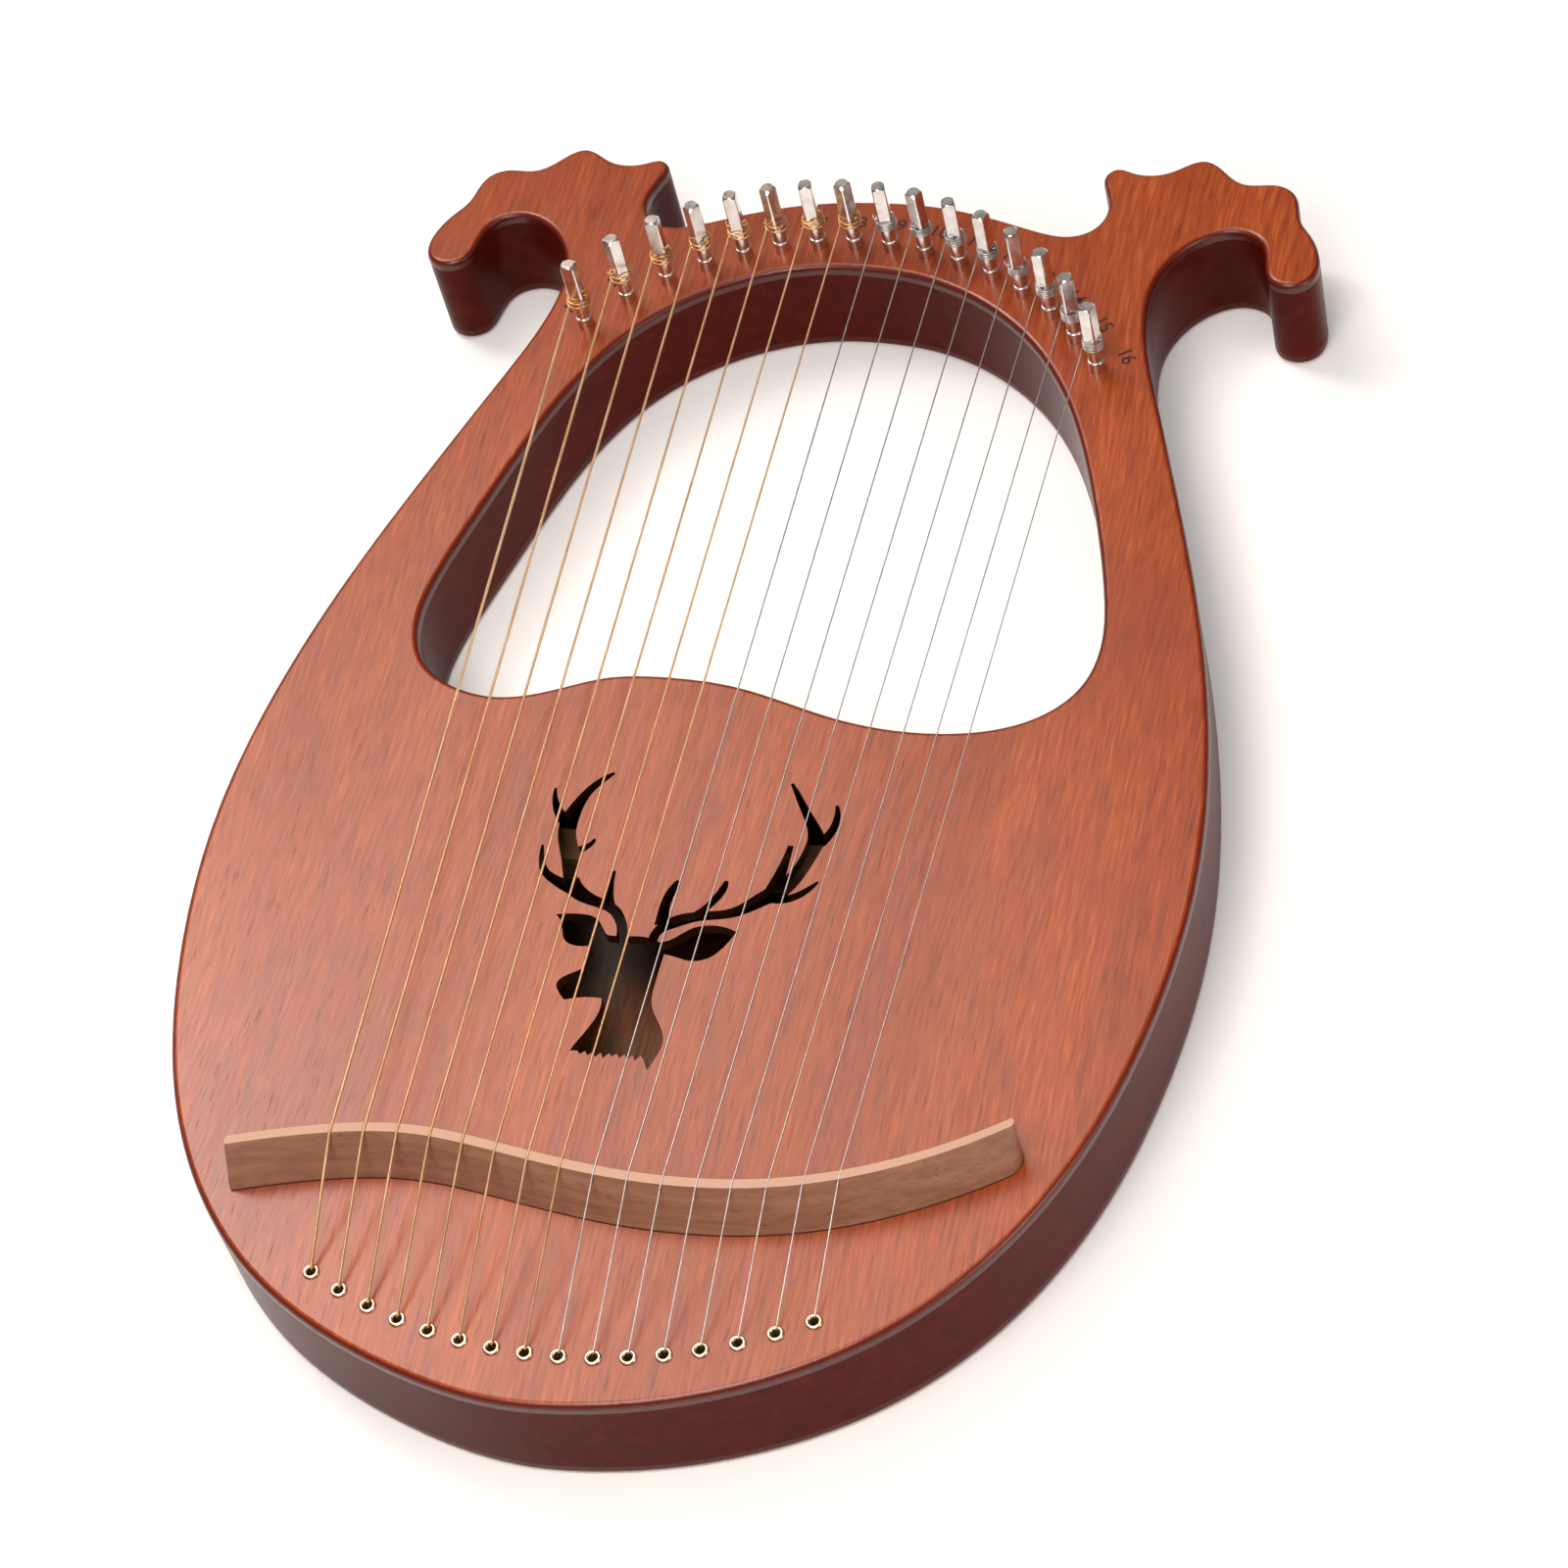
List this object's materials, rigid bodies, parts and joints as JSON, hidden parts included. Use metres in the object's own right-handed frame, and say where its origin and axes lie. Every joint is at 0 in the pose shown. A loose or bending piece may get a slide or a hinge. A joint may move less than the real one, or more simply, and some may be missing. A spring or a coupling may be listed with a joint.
{
  "type": "lyre",
  "caption": "Hand-held wooden lyre with a hollow sound box, two curved arms, a horned yoke, steel strings over a wavy bridge, a stag-head sound hole and turning tuning pins.",
  "frame": {"origin": "middle of the instrument's outline, on the back face it lies on", "axes": "+Y along the strings from the foot towards the horns, +Z out of the playing face, +X towards the high strings"},
  "size_m": [0.325, 0.515, 0.0687],
  "materials": {
    "mahogany_face": "satin",
    "mahogany_side": "satin",
    "mahogany_back": "satin",
    "inner_wood": "rough",
    "beech": "matte",
    "brass": "polished",
    "bronze_wound_string": "satin",
    "plain_steel_string": "polished",
    "nickel": "polished"
  },
  "bodies": {
    "lyre_body": {"soundboard": "mahogany_face", "body_frame": "mahogany_side", "back_board": "mahogany_back", "tail_block": "inner_wood", "soundboard_brace": "inner_wood", "back_brace": "inner_wood", "bridge": "beech", "string_eyelets": "brass", "back_ferrules": "brass", "string_ball_ends": "brass", "string_01": "bronze_wound_string", "string_02": "bronze_wound_string", "string_03": "bronze_wound_string", "string_04": "bronze_wound_string", "string_05": "bronze_wound_string", "string_06": "bronze_wound_string", "string_07": "bronze_wound_string", "string_08": "bronze_wound_string", "string_09": "plain_steel_string", "string_10": "plain_steel_string", "string_11": "plain_steel_string", "string_12": "plain_steel_string", "string_13": "plain_steel_string", "string_14": "plain_steel_string", "string_15": "plain_steel_string", "string_16": "plain_steel_string"},
    "pin_01": {"tuning_pin_01": "nickel", "winding_01": "bronze_wound_string"},
    "pin_02": {"tuning_pin_02": "nickel", "winding_02": "bronze_wound_string"},
    "pin_03": {"tuning_pin_03": "nickel", "winding_03": "bronze_wound_string"},
    "pin_04": {"tuning_pin_04": "nickel", "winding_04": "bronze_wound_string"},
    "pin_05": {"tuning_pin_05": "nickel", "winding_05": "bronze_wound_string"},
    "pin_06": {"tuning_pin_06": "nickel", "winding_06": "bronze_wound_string"},
    "pin_07": {"tuning_pin_07": "nickel", "winding_07": "bronze_wound_string"},
    "pin_08": {"tuning_pin_08": "nickel", "winding_08": "bronze_wound_string"},
    "pin_09": {"tuning_pin_09": "nickel", "winding_09": "plain_steel_string"},
    "pin_10": {"tuning_pin_10": "nickel", "winding_10": "plain_steel_string"},
    "pin_11": {"tuning_pin_11": "nickel", "winding_11": "plain_steel_string"},
    "pin_12": {"tuning_pin_12": "nickel", "winding_12": "plain_steel_string"},
    "pin_13": {"tuning_pin_13": "nickel", "winding_13": "plain_steel_string"},
    "pin_14": {"tuning_pin_14": "nickel", "winding_14": "plain_steel_string"},
    "pin_15": {"tuning_pin_15": "nickel", "winding_15": "plain_steel_string"},
    "pin_16": {"tuning_pin_16": "nickel", "winding_16": "plain_steel_string"}
  },
  "joints": [
    {"name": "pin_01_turn", "type": "hinge", "parent": "lyre_body", "child": "pin_01", "pos_m": [-0.092, 0.16913, 0.039], "axis": [0, 0, -1], "range_deg": [-270, 60]},
    {"name": "pin_02_turn", "type": "hinge", "parent": "lyre_body", "child": "pin_02", "pos_m": [-0.07956, 0.18204, 0.039], "axis": [0, 0, -1], "range_deg": [-270, 60]},
    {"name": "pin_03_turn", "type": "hinge", "parent": "lyre_body", "child": "pin_03", "pos_m": [-0.06705, 0.19184, 0.039], "axis": [0, 0, -1], "range_deg": [-270, 60]},
    {"name": "pin_04_turn", "type": "hinge", "parent": "lyre_body", "child": "pin_04", "pos_m": [-0.05441, 0.19932, 0.039], "axis": [0, 0, -1], "range_deg": [-270, 60]},
    {"name": "pin_05_turn", "type": "hinge", "parent": "lyre_body", "child": "pin_05", "pos_m": [-0.04161, 0.20488, 0.039], "axis": [0, 0, -1], "range_deg": [-270, 60]},
    {"name": "pin_06_turn", "type": "hinge", "parent": "lyre_body", "child": "pin_06", "pos_m": [-0.02866, 0.20872, 0.039], "axis": [0, 0, -1], "range_deg": [-270, 60]},
    {"name": "pin_07_turn", "type": "hinge", "parent": "lyre_body", "child": "pin_07", "pos_m": [-0.01556, 0.21095, 0.039], "axis": [0, 0, -1], "range_deg": [-270, 60]},
    {"name": "pin_08_turn", "type": "hinge", "parent": "lyre_body", "child": "pin_08", "pos_m": [-0.00236, 0.21159, 0.039], "axis": [0, 0, -1], "range_deg": [-270, 60]},
    {"name": "pin_09_turn", "type": "hinge", "parent": "lyre_body", "child": "pin_09", "pos_m": [0.01088, 0.21065, 0.039], "axis": [0, 0, -1], "range_deg": [-270, 60]},
    {"name": "pin_10_turn", "type": "hinge", "parent": "lyre_body", "child": "pin_10", "pos_m": [0.02407, 0.20808, 0.039], "axis": [0, 0, -1], "range_deg": [-270, 60]},
    {"name": "pin_11_turn", "type": "hinge", "parent": "lyre_body", "child": "pin_11", "pos_m": [0.03711, 0.20386, 0.039], "axis": [0, 0, -1], "range_deg": [-270, 60]},
    {"name": "pin_12_turn", "type": "hinge", "parent": "lyre_body", "child": "pin_12", "pos_m": [0.04985, 0.19793, 0.039], "axis": [0, 0, -1], "range_deg": [-270, 60]},
    {"name": "pin_13_turn", "type": "hinge", "parent": "lyre_body", "child": "pin_13", "pos_m": [0.06214, 0.19024, 0.039], "axis": [0, 0, -1], "range_deg": [-270, 60]},
    {"name": "pin_14_turn", "type": "hinge", "parent": "lyre_body", "child": "pin_14", "pos_m": [0.0738, 0.18073, 0.039], "axis": [0, 0, -1], "range_deg": [-270, 60]},
    {"name": "pin_15_turn", "type": "hinge", "parent": "lyre_body", "child": "pin_15", "pos_m": [0.08463, 0.16934, 0.039], "axis": [0, 0, -1], "range_deg": [-270, 60]},
    {"name": "pin_16_turn", "type": "hinge", "parent": "lyre_body", "child": "pin_16", "pos_m": [0.0944, 0.15595, 0.039], "axis": [0, 0, -1], "range_deg": [-270, 60]}
  ]
}
